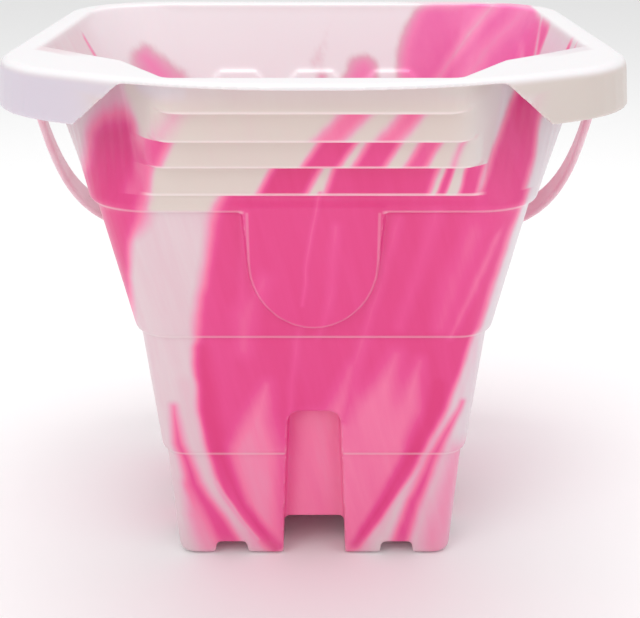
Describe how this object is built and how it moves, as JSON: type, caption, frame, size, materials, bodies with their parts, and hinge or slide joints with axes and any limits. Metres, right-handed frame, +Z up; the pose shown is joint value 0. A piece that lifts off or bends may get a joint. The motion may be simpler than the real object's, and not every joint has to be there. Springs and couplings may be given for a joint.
{
  "type": "castle mould sand bucket",
  "caption": "Stepped square sand bucket that turns out a castle with corner towers, with a turned-out flange and a swinging strap bail.",
  "frame": {"origin": "centre of the bounding box at floor level, between the four tower ends the bucket stands on", "axes": "+Z up towards the open rim; -Y towards the front, the side with the stairs and the door tongue; +X towards the bucket's own left, along the bail's pins"},
  "size_m": [0.2826, 0.2807, 0.2415],
  "materials": {
    "marbled_shell": "glossy moulded polypropylene, pink and white swirled together",
    "pale_strap": "satin moulded polypropylene, pale pink"
  },
  "bodies": {
    "bucket": {"bucket_body": "marbled_shell"},
    "bail": {"bail_handle": "pale_strap"}
  },
  "joints": [
    {"name": "bail_swing", "type": "hinge", "parent": "bucket", "child": "bail", "pos_m": [0, 0.0048, 0.2295], "axis": [1, 0, 0], "range_deg": [-12, 275]}
  ]
}
